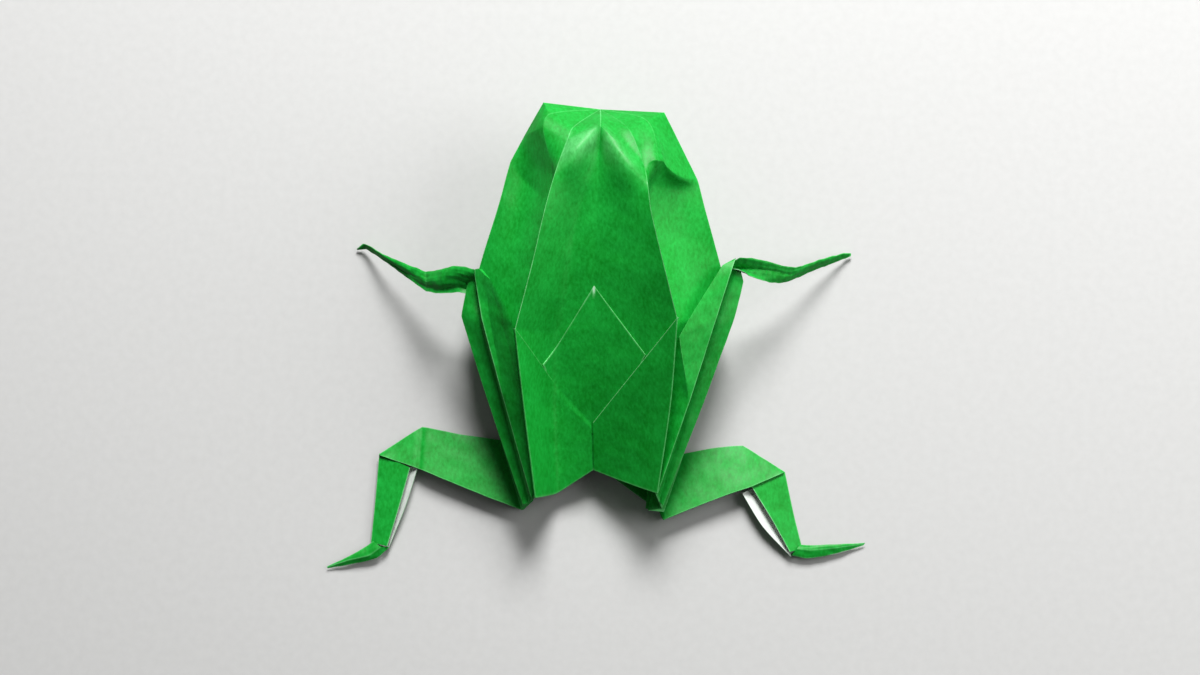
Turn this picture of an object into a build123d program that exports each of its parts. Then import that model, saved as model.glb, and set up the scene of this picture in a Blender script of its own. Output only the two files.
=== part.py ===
from build123d import *
import os
from collections import namedtuple

# A frog folded from one square sheet of paper and blown up through its tail.
# Millimetres. Seen from above with the head away from the viewer, +X is to the
# right, +Y towards the nose and +Z up. While it is built, the nose point, which
# is the middle of the sheet, is at X = 0 and Y = 0; the last step moves the
# origin to the middle of the floor under the finished frog.

# Thickness of the walls: a few layers of thin paper pressed together
body_wall = 0.24
flap_wall = 0.40
limb_wall = 0.30

# The nose point, where all sixteen body creases meet
nose_height = 10.5

# The body creases cross six folds between the nose and the tail. At each fold
# the back has a valley down its middle between two ridges, each flank has an
# upper and a lower ridge with a valley between them, and the belly has a valley
# between two keels. A tuck lies under each back ridge and a seam over each keel.
Fold = namedtuple(
    "Fold",
    "back_y back_z ridge_x ridge_y ridge_z tuck_x tuck_z wing_x wing_y wing_z "
    "flank_x flank_z hip_x hip_z seam_x seam_z keel_x keel_y keel_z belly_y belly_z",
)
cheek = Fold(
    back_y=-2.0, back_z=15.0, ridge_x=3.6, ridge_y=-4.2, ridge_z=16.3, tuck_x=6.1, tuck_z=14.4,
    wing_x=7.8, wing_y=0.0, wing_z=12.2, flank_x=5.4, flank_z=10.4, hip_x=7.4, hip_z=8.6,
    seam_x=5.0, seam_z=6.8, keel_x=3.5, keel_y=-3.4, keel_z=4.8, belly_y=-1.9, belly_z=6.4,
)
brow = Fold(
    back_y=-4.4, back_z=18.9, ridge_x=5.7, ridge_y=-10.0, ridge_z=18.6, tuck_x=7.2, tuck_z=16.1,
    wing_x=12.0, wing_y=-8.2, wing_z=12.0, flank_x=8.8, flank_z=9.9, hip_x=11.8, hip_z=7.6,
    seam_x=6.9, seam_z=5.3, keel_x=5.6, keel_y=-9.2, keel_z=2.3, belly_y=-4.4, belly_z=3.4,
)
nape = Fold(
    back_y=-6.9, back_z=17.0, ridge_x=6.4, ridge_y=-13.0, ridge_z=18.8, tuck_x=6.5, tuck_z=16.7,
    wing_x=13.1, wing_y=-11.2, wing_z=11.7, flank_x=9.5, flank_z=9.4, hip_x=12.8, hip_z=7.1,
    seam_x=7.3, seam_z=5.0, keel_x=6.2, keel_y=-11.9, keel_z=2.0, belly_y=-7.6, belly_z=3.7,
)
chest = Fold(
    back_y=-17.0, back_z=13.4, ridge_x=7.9, ridge_y=-20.0, ridge_z=18.2, tuck_x=7.7, tuck_z=16.6,
    wing_x=15.6, wing_y=-20.5, wing_z=10.0, flank_x=10.9, flank_z=8.0, hip_x=15.4, hip_z=5.6,
    seam_x=8.2, seam_z=4.0, keel_x=7.8, keel_y=-19.0, keel_z=1.4, belly_y=-17.0, belly_z=4.2,
)
waist = Fold(
    back_y=-29.4, back_z=8.6, ridge_x=10.4, ridge_y=-30.1, ridge_z=16.6, tuck_x=10.1, tuck_z=15.0,
    wing_x=17.7, wing_y=-27.8, wing_z=8.0, flank_x=12.0, flank_z=6.2, hip_x=17.4, hip_z=4.0,
    seam_x=8.8, seam_z=3.0, keel_x=9.8, keel_y=-29.4, keel_z=1.0, belly_y=-29.2, belly_z=3.4,
)
tail = Fold(
    back_y=-47.1, back_z=4.4, ridge_x=7.9, ridge_y=-51.5, ridge_z=8.8, tuck_x=7.6, tuck_z=7.2,
    wing_x=9.2, wing_y=-52.3, wing_z=4.6, flank_x=7.3, flank_z=3.7, hip_x=9.4, hip_z=2.6,
    seam_x=7.0, seam_z=1.9, keel_x=8.0, keel_y=-51.6, keel_z=0.9, belly_y=-47.8, belly_z=2.3,
)

# A small petal flap lies down the middle valley of the back and of the belly,
# and the folded edges of the pages meet over it in a wide V. Its point is a
# share of the way from chest to waist, and its corners and the foot of the V
# are shares of the way from waist to tail and from the valley to the ridge.
petal_point = 0.58
petal_corner_along = 0.20
petal_corner_across = 0.65
pages_meet = 0.66
petal_lift = 0.10
pages_lift = 0.30

# A tuck or seam leaves its fold's ridge or keel a share of the way back to the wing
tuck_share = 0.35
# Where a fold is very sharp, its corner moves out by no more than the wall would
# need if the cosine between the fold and its panels were this
sharpest_fold = 0.45

# Each foreleg is a strip folded lengthwise that rests on the flank, with its two
# open edges outwards. It crosses the tail, the loin, the waist and the shoulder.
# At the first three its spine and upper edge keep these distances, outwards,
# towards the nose and up, from the back ridge, and its lower edge from the wing.
# At the shoulder all three are measured from the wing of the chest fold.
Foreleg = namedtuple("Foreleg", "side spine upper lower")
right_foreleg = Foreleg(
    side=1,
    spine=[(0.1, 2.7, -1.8), (0.6, 0.5, -1.6), (0.9, -0.5, -1.2), (0.7, -0.7, 1.6)],
    upper=[(0.4, 0.5, -0.8), (3.15, 0.2, -1.4), (5.3, 1.8, -2.6), (2.4, -0.4, 2.6)],
    lower=[(0.0, 0.3, 0.8), (0.3, 0.0, 1.0), (0.4, 0.3, 1.0), (3.9, -1.9, -0.2)],
)
left_foreleg = Foreleg(
    side=-1,
    spine=[(0.1, 2.7, -1.8), (0.6, 0.5, -1.6), (0.9, -0.3, -1.2), (0.0, -1.4, 1.6)],
    upper=[(0.4, 0.5, -0.8), (2.55, 0.0, -1.4), (4.4, 1.2, -2.6), (1.0, -1.1, 2.6)],
    lower=[(0.0, 0.3, 0.8), (0.0, -0.3, 1.0), (-0.1, -0.2, 1.0), (2.4, -2.9, -0.2)],
)
# The loin is a share of the way from the waist to the tail
loin_share = 0.42

# Arms, hands and feet are the strips folded narrow. Each section has its front
# and rear edge, its height above the floor at mid thickness and half its
# thickness, from the shoulder or the ankle to the tip. The arms' edges are
# measured outwards and towards the nose from the wing of the chest fold.
Section = namedtuple("Section", "front rear height half")
right_arm = [
    Section((2.0, 0.1), (2.7, -1.9), 11.0, 0.9),
    Section((6.4, 0.6), (6.0, -1.8), 9.1, 0.8),
    Section((10.2, 0.6), (9.6, -1.1), 5.9, 0.7),
    Section((14.8, 2.7), (14.2, 1.6), 2.6, 0.5),
    Section((18.5, 4.2), (18.5, 3.7), 0.3, 0.2),
]
left_arm = [
    Section((0.8, -1.1), (1.4, -4.5), 10.7, 0.9),
    Section((4.4, -1.0), (4.4, -4.3), 8.6, 0.8),
    Section((7.9, -0.7), (8.0, -3.1), 6.0, 0.7),
    Section((13.2, 2.3), (12.6, 1.1), 2.5, 0.5),
    Section((16.9, 3.6), (16.9, 3.1), 0.3, 0.2),
]

# Each hind leg comes out between the lower pages at the tail. Its under layer
# lies flat on the floor and its upper layer stands open along the rear edge.
HindLeg = namedtuple("HindLeg", "hip thigh knee crook inside ankle heel shin_top shin_foot foot")
right_hind_leg = HindLeg(
    hip=(8.0, -45.2), thigh=(19.8, -43.0), knee=(25.3, -46.5), crook=(20.0, -49.4),
    inside=(8.6, -53.4), ankle=(27.7, -56.4), heel=(26.3, -57.5), shin_top=(21.2, -48.6),
    shin_foot=(25.7, -56.8),
    foot=[
        Section((27.6, -56.1), (26.4, -57.6), 0.8, 0.6),
        Section((30.6, -56.0), (30.2, -57.5), 0.7, 0.5),
        Section((36.2, -55.5), (36.2, -55.9), 0.3, 0.2),
    ],
)
left_hind_leg = HindLeg(
    hip=(-8.0, -43.5), thigh=(-22.9, -41.3), knee=(-28.5, -45.2), crook=(-23.1, -47.1),
    inside=(-8.8, -52.6), ankle=(-29.1, -56.7), heel=(-26.8, -57.6), shin_top=(-24.3, -47.0),
    shin_foot=(-26.8, -57.4),
    foot=[
        Section((-28.8, -56.4), (-26.9, -57.9), 0.8, 0.6),
        Section((-31.2, -58.3), (-30.6, -59.5), 0.7, 0.5),
        Section((-35.1, -60.2), (-35.0, -60.6), 0.3, 0.2),
    ],
)
thigh_fold_height = 0.35
knee_fold_height = 0.55
thigh_open_height = 2.2
shin_open_height = 1.6
shin_foot_height = 1.1


def between(start, end, share):
    """The point or number a share of the way from start to end."""
    return start + (end - start) * share


def mirrored(point):
    """The same point on the other side of the body."""
    return Vector(-point.X, point.Y, point.Z)


def facet(a, b, c):
    """A triangle of paper."""
    return Face(Wire.make_polygon([a, b, c], close=True))


def thicken(corners, facets, wall):
    """Paper of one thickness whose middle is the given triangles.

    Each corner moves half the wall to both sides along the mean normal of the
    triangles round it, further where the fold there is sharp, and the free
    edges are closed across the wall.
    """
    normals = []
    for a, b, c in facets:
        side = corners[b] - corners[a]
        other = corners[c] - corners[a]
        normals.append(side.cross(other).normalized())
    offsets = []
    for index in range(len(corners)):
        around = [n for n, f in zip(normals, facets) if index in f]
        mean = sum(around, Vector(0, 0, 0)).normalized()
        square = sum(mean.dot(n) for n in around) / len(around)
        offsets.append(mean * (wall / 2 / max(square, sharpest_fold)))
    upper = [p + o for p, o in zip(corners, offsets)]
    lower = [p - o for p, o in zip(corners, offsets)]
    skin = [facet(upper[a], upper[b], upper[c]) for a, b, c in facets]
    skin += [facet(lower[a], lower[c], lower[b]) for a, b, c in facets]
    edges = {(f[i], f[(i + 1) % 3]) for f in facets for i in range(3)}
    for a, b in sorted(edges):
        if (b, a) not in edges:
            skin.append(facet(upper[a], lower[a], lower[b]))
            skin.append(facet(upper[a], lower[b], upper[b]))
    return Solid(Shell(skin))


def half_ring(f):
    """The nine crease points of one fold, from the back valley to the belly valley."""
    tuck_y = between(f.ridge_y, f.wing_y, tuck_share)
    seam_y = between(f.keel_y, f.wing_y, tuck_share)
    return [
        Vector(0, f.back_y, f.back_z),
        Vector(f.ridge_x, f.ridge_y, f.ridge_z),
        Vector(f.tuck_x, tuck_y, f.tuck_z),
        Vector(f.wing_x, f.wing_y, f.wing_z),
        Vector(f.flank_x, f.wing_y, f.flank_z),
        Vector(f.hip_x, f.wing_y, f.hip_z),
        Vector(f.seam_x, seam_y, f.seam_z),
        Vector(f.keel_x, f.keel_y, f.keel_z),
        Vector(0, f.belly_y, f.belly_z),
    ]


def ring(f):
    """All sixteen crease points of one fold, once round the body."""
    right = half_ring(f)
    left = [mirrored(p) for p in right[1:-1]]
    return right + left[::-1]


def make_body():
    """The blown-up body: sixteen pleated panels from the nose point to the open tail."""
    folds = [cheek, brow, nape, chest, waist, tail]
    corners = [Vector(0, 0, nose_height)]
    for f in folds:
        corners += ring(f)
    count = len(ring(cheek))
    facets = [(0, 1 + (k + 1) % count, 1 + k) for k in range(count)]
    for step in range(len(folds) - 1):
        front = 1 + step * count
        rear = front + count
        for k in range(count):
            n = (k + 1) % count
            if k % 2 == 0:
                facets.append((front + k, front + n, rear + n))
                facets.append((front + k, rear + n, rear + k))
            else:
                facets.append((front + k, front + n, rear + k))
                facets.append((front + n, rear + n, rear + k))
    return thicken(corners, facets, body_wall)


def make_flaps(valley, ridge, up):
    """The petal flap and the pages that meet over it, along one middle valley.

    valley and ridge are the places of those creases in a half ring, and up is
    1 on the back and -1 on the belly.
    """
    front, middle, rear = half_ring(chest), half_ring(waist), half_ring(tail)
    point = between(front[valley], middle[valley], petal_point)
    meet = between(middle[valley], rear[valley], pages_meet)
    inner = between(middle[valley], rear[valley], petal_corner_along)
    outer = between(middle[ridge], rear[ridge], petal_corner_along)
    corner = between(inner, outer, petal_corner_across)
    lift = Vector(0, 0, up * petal_lift)
    petal = [p + lift for p in (point, corner, meet, mirrored(corner))]
    lift = Vector(0, 0, up * pages_lift)
    pages = [middle[ridge], meet, rear[valley], rear[ridge], mirrored(middle[ridge]), mirrored(rear[ridge])]
    pages = [p + lift for p in pages]
    return [
        thicken(petal, [(0, 1, 2), (0, 2, 3)], flap_wall),
        thicken(pages, [(0, 2, 1), (0, 3, 2), (4, 1, 2), (4, 2, 5)], flap_wall),
    ]


def make_foreleg(leg):
    """The strip from the tail to the shoulder."""
    rings = [half_ring(f) for f in (tail, waist, chest)]
    ridges = [ring_points[1] for ring_points in rings]
    wings = [ring_points[3] for ring_points in rings]
    inner = [ridges[0], between(ridges[1], ridges[0], loin_share), ridges[1], wings[2]]
    outer = [wings[0], between(wings[1], wings[0], loin_share), wings[1], wings[2]]
    corners = []
    for bases, steps in ((inner, leg.spine), (inner, leg.upper), (outer, leg.lower)):
        for base, step in zip(bases, steps):
            place = base + Vector(*step)
            corners.append(place if leg.side > 0 else mirrored(place))
    count = len(leg.spine)
    facets = []
    for i in range(count - 1):
        spine, upper, lower = i, i + count, i + 2 * count
        facets.append((spine, spine + 1, upper + 1))
        facets.append((spine, upper + 1, upper))
        facets.append((spine, lower, lower + 1))
        facets.append((spine, lower + 1, spine + 1))
    return thicken(corners, facets, limb_wall)


def arm_sections(side, sections):
    """An arm's sections, moved from the shoulder's measure to the frog's."""
    shoulder = half_ring(chest)[3]
    moved = []
    for s in sections:
        front = (side * (shoulder.X + s.front[0]), shoulder.Y + s.front[1])
        rear = (side * (shoulder.X + s.rear[0]), shoulder.Y + s.rear[1])
        moved.append(Section(front, rear, s.height, s.half))
    return moved


def make_limb(sections):
    """A strip pressed narrow, four-sided in section, through the given sections."""
    rings = []
    for s in sections:
        front = Vector(*s.front, s.height)
        rear = Vector(*s.rear, s.height)
        middle = between(front, rear, 0.5)
        rise = Vector(0, 0, s.half)
        rings.append([front, middle + rise, rear, middle - rise])
    skin = []
    for near, far in zip(rings, rings[1:]):
        for k in range(4):
            n = (k + 1) % 4
            skin.append(facet(near[k], near[n], far[n]))
            skin.append(facet(near[k], far[n], far[k]))
    for end in (rings[0], rings[-1]):
        skin.append(facet(end[0], end[1], end[2]))
        skin.append(facet(end[0], end[2], end[3]))
    return Solid(Shell(skin))


def make_hind_leg(leg):
    """Thigh, shin and foot of one hind leg, open along the rear of both folds."""
    outline = [leg.hip, leg.thigh, leg.knee, leg.ankle, leg.heel, leg.crook, leg.inside]
    under = extrude(make_face(Polyline(*outline, close=True)), limb_wall)
    fold = thigh_fold_height
    thigh = [
        Vector(*leg.hip, fold),
        Vector(*leg.thigh, fold),
        Vector(*leg.knee, knee_fold_height),
        Vector(*leg.crook, thigh_open_height),
        Vector(*leg.inside, thigh_open_height),
    ]
    shin = [
        Vector(*leg.knee, fold),
        Vector(*leg.ankle, fold),
        Vector(*leg.shin_foot, shin_foot_height),
        Vector(*leg.shin_top, shin_open_height),
    ]
    return [
        under,
        thicken(thigh, [(0, 1, 3), (1, 2, 3), (0, 3, 4)], limb_wall),
        thicken(shin, [(0, 1, 2), (0, 2, 3)], limb_wall),
        make_limb(leg.foot),
    ]


pieces = make_flaps(0, 1, 1) + make_flaps(8, 7, -1)
pieces += [make_foreleg(right_foreleg), make_foreleg(left_foreleg)]
pieces += [make_limb(arm_sections(1, right_arm)), make_limb(arm_sections(-1, left_arm))]
pieces += make_hind_leg(right_hind_leg) + make_hind_leg(left_hind_leg)
frog = make_body().fuse(*pieces)

box = frog.bounding_box()
middle = box.center()
frog = Pos(-middle.X, -middle.Y, -box.min.Z) * frog

os.makedirs("parts", exist_ok=True)
export_step(frog, "parts/folded_sheet.step")
print("solids", len(frog.solids()), "volume", round(frog.volume, 1), "valid", frog.is_valid)
print("size", box.size, "moved by", Vector(-middle.X, -middle.Y, -box.min.Z))
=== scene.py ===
import bpy
import numpy as np
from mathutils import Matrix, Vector


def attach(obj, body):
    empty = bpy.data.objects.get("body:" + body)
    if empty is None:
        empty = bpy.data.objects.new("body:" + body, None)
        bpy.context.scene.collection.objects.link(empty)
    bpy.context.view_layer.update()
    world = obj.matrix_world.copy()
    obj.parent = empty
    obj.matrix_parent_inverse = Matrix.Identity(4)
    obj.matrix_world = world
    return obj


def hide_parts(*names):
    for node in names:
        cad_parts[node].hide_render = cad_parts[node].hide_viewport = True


# An origami frog, folded from one green square and blown up through its tail.
# The frog's lengths are millimetres from its nose point, with +X to the right in
# the picture, +Y towards the nose and +Z up. sheet_of_paper turns them into
# metres in the row frame, where the nose point is over nose_place.

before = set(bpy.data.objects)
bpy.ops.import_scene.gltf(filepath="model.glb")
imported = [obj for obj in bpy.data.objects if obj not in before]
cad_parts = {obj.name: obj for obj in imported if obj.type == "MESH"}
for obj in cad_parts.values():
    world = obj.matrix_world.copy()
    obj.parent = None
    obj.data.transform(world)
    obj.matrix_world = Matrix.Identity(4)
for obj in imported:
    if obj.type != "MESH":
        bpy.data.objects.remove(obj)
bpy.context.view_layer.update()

nose_place = np.array([-0.55, 30.2173, 0.0])
millimetre = 0.001
paper_node = "folded_sheet"
body_wall = 0.12
flap_wall = 0.12
# Widths of the pale lines worn along the body's creases, and along the edges
# and folds of flaps and strips
crease_line = 0.13
edge_line = 0.14


# Curves and surfaces

def along(stations, softness, u):
    """Places on creases at parameter u, where station i lies at u = i.

    Each run between two stations is a cubic Hermite curve. Its end slopes are
    the run's own direction where the softness is 0, which makes a sharp fold
    there, and the direction between the neighbouring stations where it is 1.
    stations is (n, ..., 3), softness (n, ...) and u any shape.
    """
    p = np.asarray(stations, float)
    s = np.asarray(softness, float)
    s = s.reshape(s.shape + (1,) * (p.ndim - s.ndim))
    step = p[1:] - p[:-1]
    length = np.maximum(np.linalg.norm(step, axis=-1, keepdims=True), 1e-6)
    straight = step / length
    mean = np.empty_like(p)
    mean[0], mean[-1] = straight[0], straight[-1]
    mean[1:-1] = (p[2:] - p[:-2]) / (length[1:] + length[:-1])
    leaving = (straight + (mean[:-1] - straight) * s[:-1]) * length
    arriving = (straight + (mean[1:] - straight) * s[1:]) * length
    u = np.asarray(u, float)
    i = np.clip(np.floor(u).astype(int), 0, len(p) - 2)
    t = (u - i).reshape(u.shape + (1,) * (p.ndim - 1))
    start_share = 2 * t**3 - 3 * t**2 + 1
    leaving_share = t**3 - 2 * t**2 + t
    end_share = 3 * t**2 - 2 * t**3
    arriving_share = t**3 - t**2
    at_start = start_share * p[i] + leaving_share * leaving[i]
    at_end = end_share * p[i + 1] + arriving_share * arriving[i]
    return at_start + at_end


def rows_between(counts, near=0.04):
    """Row parameters: counts[i] even steps in run i, and one more row close to each side of a station."""
    rows = []
    for i, count in enumerate(counts):
        rows.append(i + np.linspace(0, 1, count, endpoint=False))
        rows.append(np.array([i + near, i + 1 - near]))
    return np.unique(np.round(np.append(np.concatenate(rows), len(counts)), 6))


def shares_across(width, count, line=crease_line):
    """Column shares from 0 to 1 for each row: even steps, with two thin columns beside each crease.

    width is the panel's width at each row. The first thin column is one line
    wide, but 0.08 of the width at most, and the second ends at 2.4 times that.
    """
    thin_limit = 0.08
    second = 2.4
    thin = np.clip(line / np.maximum(width, 1e-3), 0, thin_limit)[:, None]
    even = np.linspace(0, 1, count + 1)[1:-1][None, :]
    middle = second * thin + (1 - 2 * second * thin) * even
    none = np.zeros_like(thin)
    shares = [none, thin, second * thin, middle, 1 - second * thin, 1 - thin, none + 1]
    return np.concatenate(shares, axis=1)


def soft_waves(p, size, seed, count=9):
    """A smooth uneven field of about -1 to 1 over the places p.

    It is the sum of sine waves in random directions, each 0.7 to 1.5 times the
    given size long, times 0.7 over the root of their number.
    """
    rng = np.random.default_rng(seed)
    total = 0.0
    for _ in range(count):
        direction = rng.normal(size=3)
        direction /= np.linalg.norm(direction)
        wave = 2 * np.pi / (size * rng.uniform(0.7, 1.5))
        total = total + np.sin(p @ (direction * wave) + rng.uniform(0, 2 * np.pi))
    return total / np.sqrt(count) * 0.7


def ease(x):
    """0 below 0 and 1 above 1, and between them the smooth step 3x^2 - 2x^3."""
    x = np.clip(x, 0, 1)
    return x * x * (3 - 2 * x)


# Closed sheets

def corner_normals(points, faces):
    """The mean normal of the faces round each corner, weighted by their area."""
    a, b, c, d = (points[faces[:, i]] for i in range(4))
    normal = np.cross(c - a, d - b)
    total = np.zeros_like(points)
    for i in range(4):
        np.add.at(total, faces[:, i], normal)
    return total / np.maximum(np.linalg.norm(total, axis=1, keepdims=True), 1e-12)


def welded(points, faces, values):
    """The same faces, with corners on one place made one corner, and without faces that have no area."""
    _, first, place = np.unique(np.round(points, 4), axis=0, return_index=True, return_inverse=True)
    faces = place.reshape(-1)[faces]
    kept = []
    for face in faces.tolist():
        ring = [v for i, v in enumerate(face) if v != face[i - 1]]
        if len(ring) > 2 and len(set(ring)) == len(ring):
            kept.append(ring)
    return points[first], kept, [v[first] for v in values]


def rim_faces(edge, beyond, turned, wrap=False):
    """Faces from an edge of the front face to the same edge of the other, whose numbers lie beyond it."""
    start, end = edge, np.roll(edge, -1)
    if not wrap:
        start, end = start[:-1], end[:-1]
    rim = np.stack([start, start + beyond, end + beyond, end], axis=-1)
    return rim[:, ::-1] if turned else rim


def sheet_of_paper(name, grid, wall, pale, reverse, wrap=False):
    """One closed sheet: the grid is its green face, and the other face lies a wall's thickness behind it.

    grid is (rows, columns, 3). Each point of the other face is the grid's point
    less the wall times the mean normal there, and rims close the free edges.
    pale is how pale the paper is at each grid point, from wear and, on the
    body's back, from a painted highlight, and less so on the other face. reverse
    is 1 where the other face is the paper's white side.
    """
    worn_behind = 0.4
    sharp_angle = np.radians(50)
    rows, columns = grid.shape[:2]
    whole = np.arange(rows * columns).reshape(rows, columns)
    index, right = whole, np.roll(whole, -1, axis=1)
    if not wrap:
        index, right = index[:, :-1], right[:, :-1]
    faces = np.stack([index[:-1], right[:-1], right[1:], index[1:]], axis=-1).reshape(-1, 4)
    front = grid.reshape(-1, 3)
    normal = corner_normals(front, faces)
    behind = front - normal * np.broadcast_to(wall, (rows, columns)).reshape(-1, 1)
    count = len(front)
    skins = [faces, faces[:, ::-1] + count]
    skins.append(rim_faces(whole[0], count, False, wrap))
    skins.append(rim_faces(whole[-1], count, True, wrap))
    if not wrap:
        skins.append(rim_faces(whole[:, 0], count, True))
        skins.append(rim_faces(whole[:, -1], count, False))
    points = np.concatenate([front, behind])
    wear_and_highlight = np.concatenate([pale.reshape(-1), worn_behind * pale.reshape(-1)])
    white = np.broadcast_to(np.asarray(reverse, float), (rows, columns)).reshape(-1)
    inside = np.concatenate([np.zeros(count), white])
    points, faces, (wear_and_highlight, inside) = welded(points, np.concatenate(skins), [wear_and_highlight, inside])
    mesh = bpy.data.meshes.new(name)
    mesh.from_pydata(((points + nose_place) * millimetre).tolist(), [], faces)
    for label, values in (("wear_and_highlight", wear_and_highlight), ("inside", inside)):
        mesh.attributes.new(label, "FLOAT", "POINT").data.foreach_set("value", values)
    mesh.shade_smooth()
    mesh.set_sharp_from_angle(angle=sharp_angle)
    mesh.materials.append(green_paper)
    mesh.update()
    piece = bpy.data.objects.new(name, mesh)
    bpy.context.scene.collection.objects.link(piece)
    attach(piece, "root")
    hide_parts(paper_node)


# Shader values

class Value:
    """One output of a node. Operators on it add Math nodes."""

    def __init__(self, finish, socket):
        self.finish = finish
        self.socket = socket

    def math(self, operation, first, second=0.0):
        return self.finish.node("ShaderNodeMath", {"operation": operation}, {0: first, 1: second})

    def __add__(self, other):
        return self.math("ADD", self, other)

    def __sub__(self, other):
        return self.math("SUBTRACT", self, other)

    def __rsub__(self, other):
        return self.math("SUBTRACT", other, self)

    def __mul__(self, other):
        return self.math("MULTIPLY", self, other)

    __radd__ = __add__
    __rmul__ = __mul__

    def limited(self):
        """The value held between 0 and 1."""
        return self.finish.node("ShaderNodeClamp", {}, {"Value": self})


class Finish:
    """The nodes of a material or a world, and one method that adds any node to them."""

    def __init__(self, owner):
        owner.use_nodes = True
        self.tree = owner.node_tree
        self.tree.nodes.clear()

    def node(self, kind, settings, sockets, output=0):
        """Adds a node, sets its settings, then the values or links of its sockets, and gives one output."""
        made = self.tree.nodes.new(kind)
        for key, setting in settings.items():
            setattr(made, key, setting)
        for key, value in sockets.items():
            if isinstance(value, Value):
                self.tree.links.new(value.socket, made.inputs[key])
            else:
                made.inputs[key].default_value = value
        return Value(self, made.outputs[output]) if len(made.outputs) else None

    def blended(self, share, first, second):
        """The first colour turning into the second by a share from 0 to 1."""
        settings = {"data_type": "RGBA", "blend_type": "MIX"}
        return self.node("ShaderNodeMix", settings, {0: share, 6: first, 7: second}, 2)


dark_dye = (0.003, 0.27, 0.015, 1)
light_dye = (0.012, 0.47, 0.053, 1)
# Pale green of worn creases and edges, and of the painted highlight on the back
wear_and_highlight_green = (0.26, 0.86, 0.34, 1)
bare_fibres = (0.70, 0.90, 0.72, 1)
white_side_dark = (0.70, 0.76, 0.70, 1)
white_side_light = (0.82, 0.86, 0.82, 1)


def green_paper_finish():
    """Thin paper, dyed green on one side and white on the other.

    The dye is mottled along the fibres and a little cloudy. It is made pale by
    its wear attribute, which holds wear along creases and edges and a painted
    highlight along the brow's roll on the back, and it is white where inside is 1.
    """
    material = bpy.data.materials.new("green_paper")
    f = Finish(material)
    place = f.node("ShaderNodeTexCoord", {}, {}, "Object")
    grain = {"Vector": place, "Rotation": (0.3, 0.2, 0.6), "Scale": (1, 0.55, 1)}
    turned = f.node("ShaderNodeMapping", {}, grain)
    noise = "ShaderNodeTexNoise"
    fibre = f.node(noise, {}, {"Vector": turned, "Scale": 2600.0, "Detail": 3.0, "Roughness": 0.6})
    fine = f.node(noise, {}, {"Vector": place, "Scale": 9000.0, "Detail": 2.0})
    cloud = f.node(noise, {}, {"Vector": place, "Scale": 300.0, "Detail": 3.0, "Roughness": 0.55})
    wear_and_highlight = f.node("ShaderNodeAttribute", {"attribute_name": "wear_and_highlight"}, {}, "Fac")
    inside = f.node("ShaderNodeAttribute", {"attribute_name": "inside"}, {}, "Fac")
    mottle = (fibre * 0.62 + cloud * 0.38).limited()
    spread = (mottle * 2.8 - 0.9).limited()
    dye = f.blended(spread, dark_dye, light_dye)
    # The share of pale green: wear on creases and edges, and the painted highlight along the brow's roll
    paling = (wear_and_highlight * (fibre * 1.5 + 0.3)).limited()
    paled = f.blended(paling, dye, wear_and_highlight_green)
    bare = (wear_and_highlight * 1.6 - 0.85 + (fibre - 0.5) * 0.6).limited()
    outside = f.blended(bare, paled, bare_fibres)
    white = f.blended(spread, white_side_dark, white_side_light)
    height = fibre * 0.7 + fine * 0.3
    shader = f.node("ShaderNodeBsdfPrincipled", {}, {
        "Base Color": f.blended(inside, outside, white),
        "Roughness": fibre * 0.10 + 0.38,
        "Normal": f.node("ShaderNodeBump", {}, {"Height": height, "Strength": 0.22, "Distance": 0.00006}),
        "Specular IOR Level": 0.22,
    })
    f.node("ShaderNodeOutputMaterial", {}, {"Surface": shader})
    return material


green_paper = green_paper_finish()


# The body's sixteen creases run from the nose point to the tail, with nine
# stations each. Crease 0 is the valley of the back, and the others follow over
# the right side, the belly (8) and the left side. Panel i lies between crease i
# and the next one
NOSE, CHEEK, BROW, NAPE, CHEST, FLANK, WAIST, LOIN, TAIL = range(9)
crease_count = 16
VALLEY, RIGHT_RIDGE, RIGHT_TUCK, RIGHT_WING = 0, 1, 2, 3
LEFT_WING, LEFT_TUCK, LEFT_RIDGE = 13, 14, 15
RIGHT_BACK, RIGHT_RIM, RIGHT_SIDE = 0, 1, 2
LEFT_SIDE, LEFT_RIM, LEFT_BACK = 13, 14, 15
RIGHT_BELLY, LEFT_BELLY = 7, 8
nose_point = (0.0, 0.0, 11.3)


def crease(*places):
    """A crease's nine stations; the first is always the nose point."""
    return np.array([nose_point, *places])


back_valley = crease(
    (0.1, -2.0, 14.8), (0.1, -4.1, 17.6), (0.0, -6.9, 17.0), (-0.1, -13.4, 15.7),
    (-0.3, -21.0, 13.7), (-0.4, -29.4, 10.8), (-0.4, -38.3, 7.2), (0.0, -47.1, 3.3),
)
left_ridge = crease(
    (-3.5, -4.1, 16.5), (-4.2, -6.1, 17.5), (-5.7, -10.8, 18.3), (-6.9, -15.6, 18.3),
    (-8.4, -22.7, 17.5), (-10.4, -31.0, 16.2), (-9.2, -39.7, 12.8), (-7.4, -51.8, 8.3),
)
right_ridge = crease(
    (3.8, -4.1, 16.3), (5.9, -9.5, 17.7), (6.4, -12.1, 18.4), (6.9, -15.6, 18.5),
    (8.6, -22.3, 17.9), (10.5, -29.3, 16.6), (9.9, -39.3, 12.8), (8.4, -50.9, 8.2),
)
left_tuck = crease(
    (-6.6, -1.9, 15.2), (-7.4, -4.0, 16.2), (-5.95, -10.9, 16.8), (-6.8, -16.2, 16.6),
    (-8.2, -22.5, 15.7), (-10.1, -30.6, 14.3), (-8.9, -39.5, 11.0), (-7.2, -51.3, 6.8),
)
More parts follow.
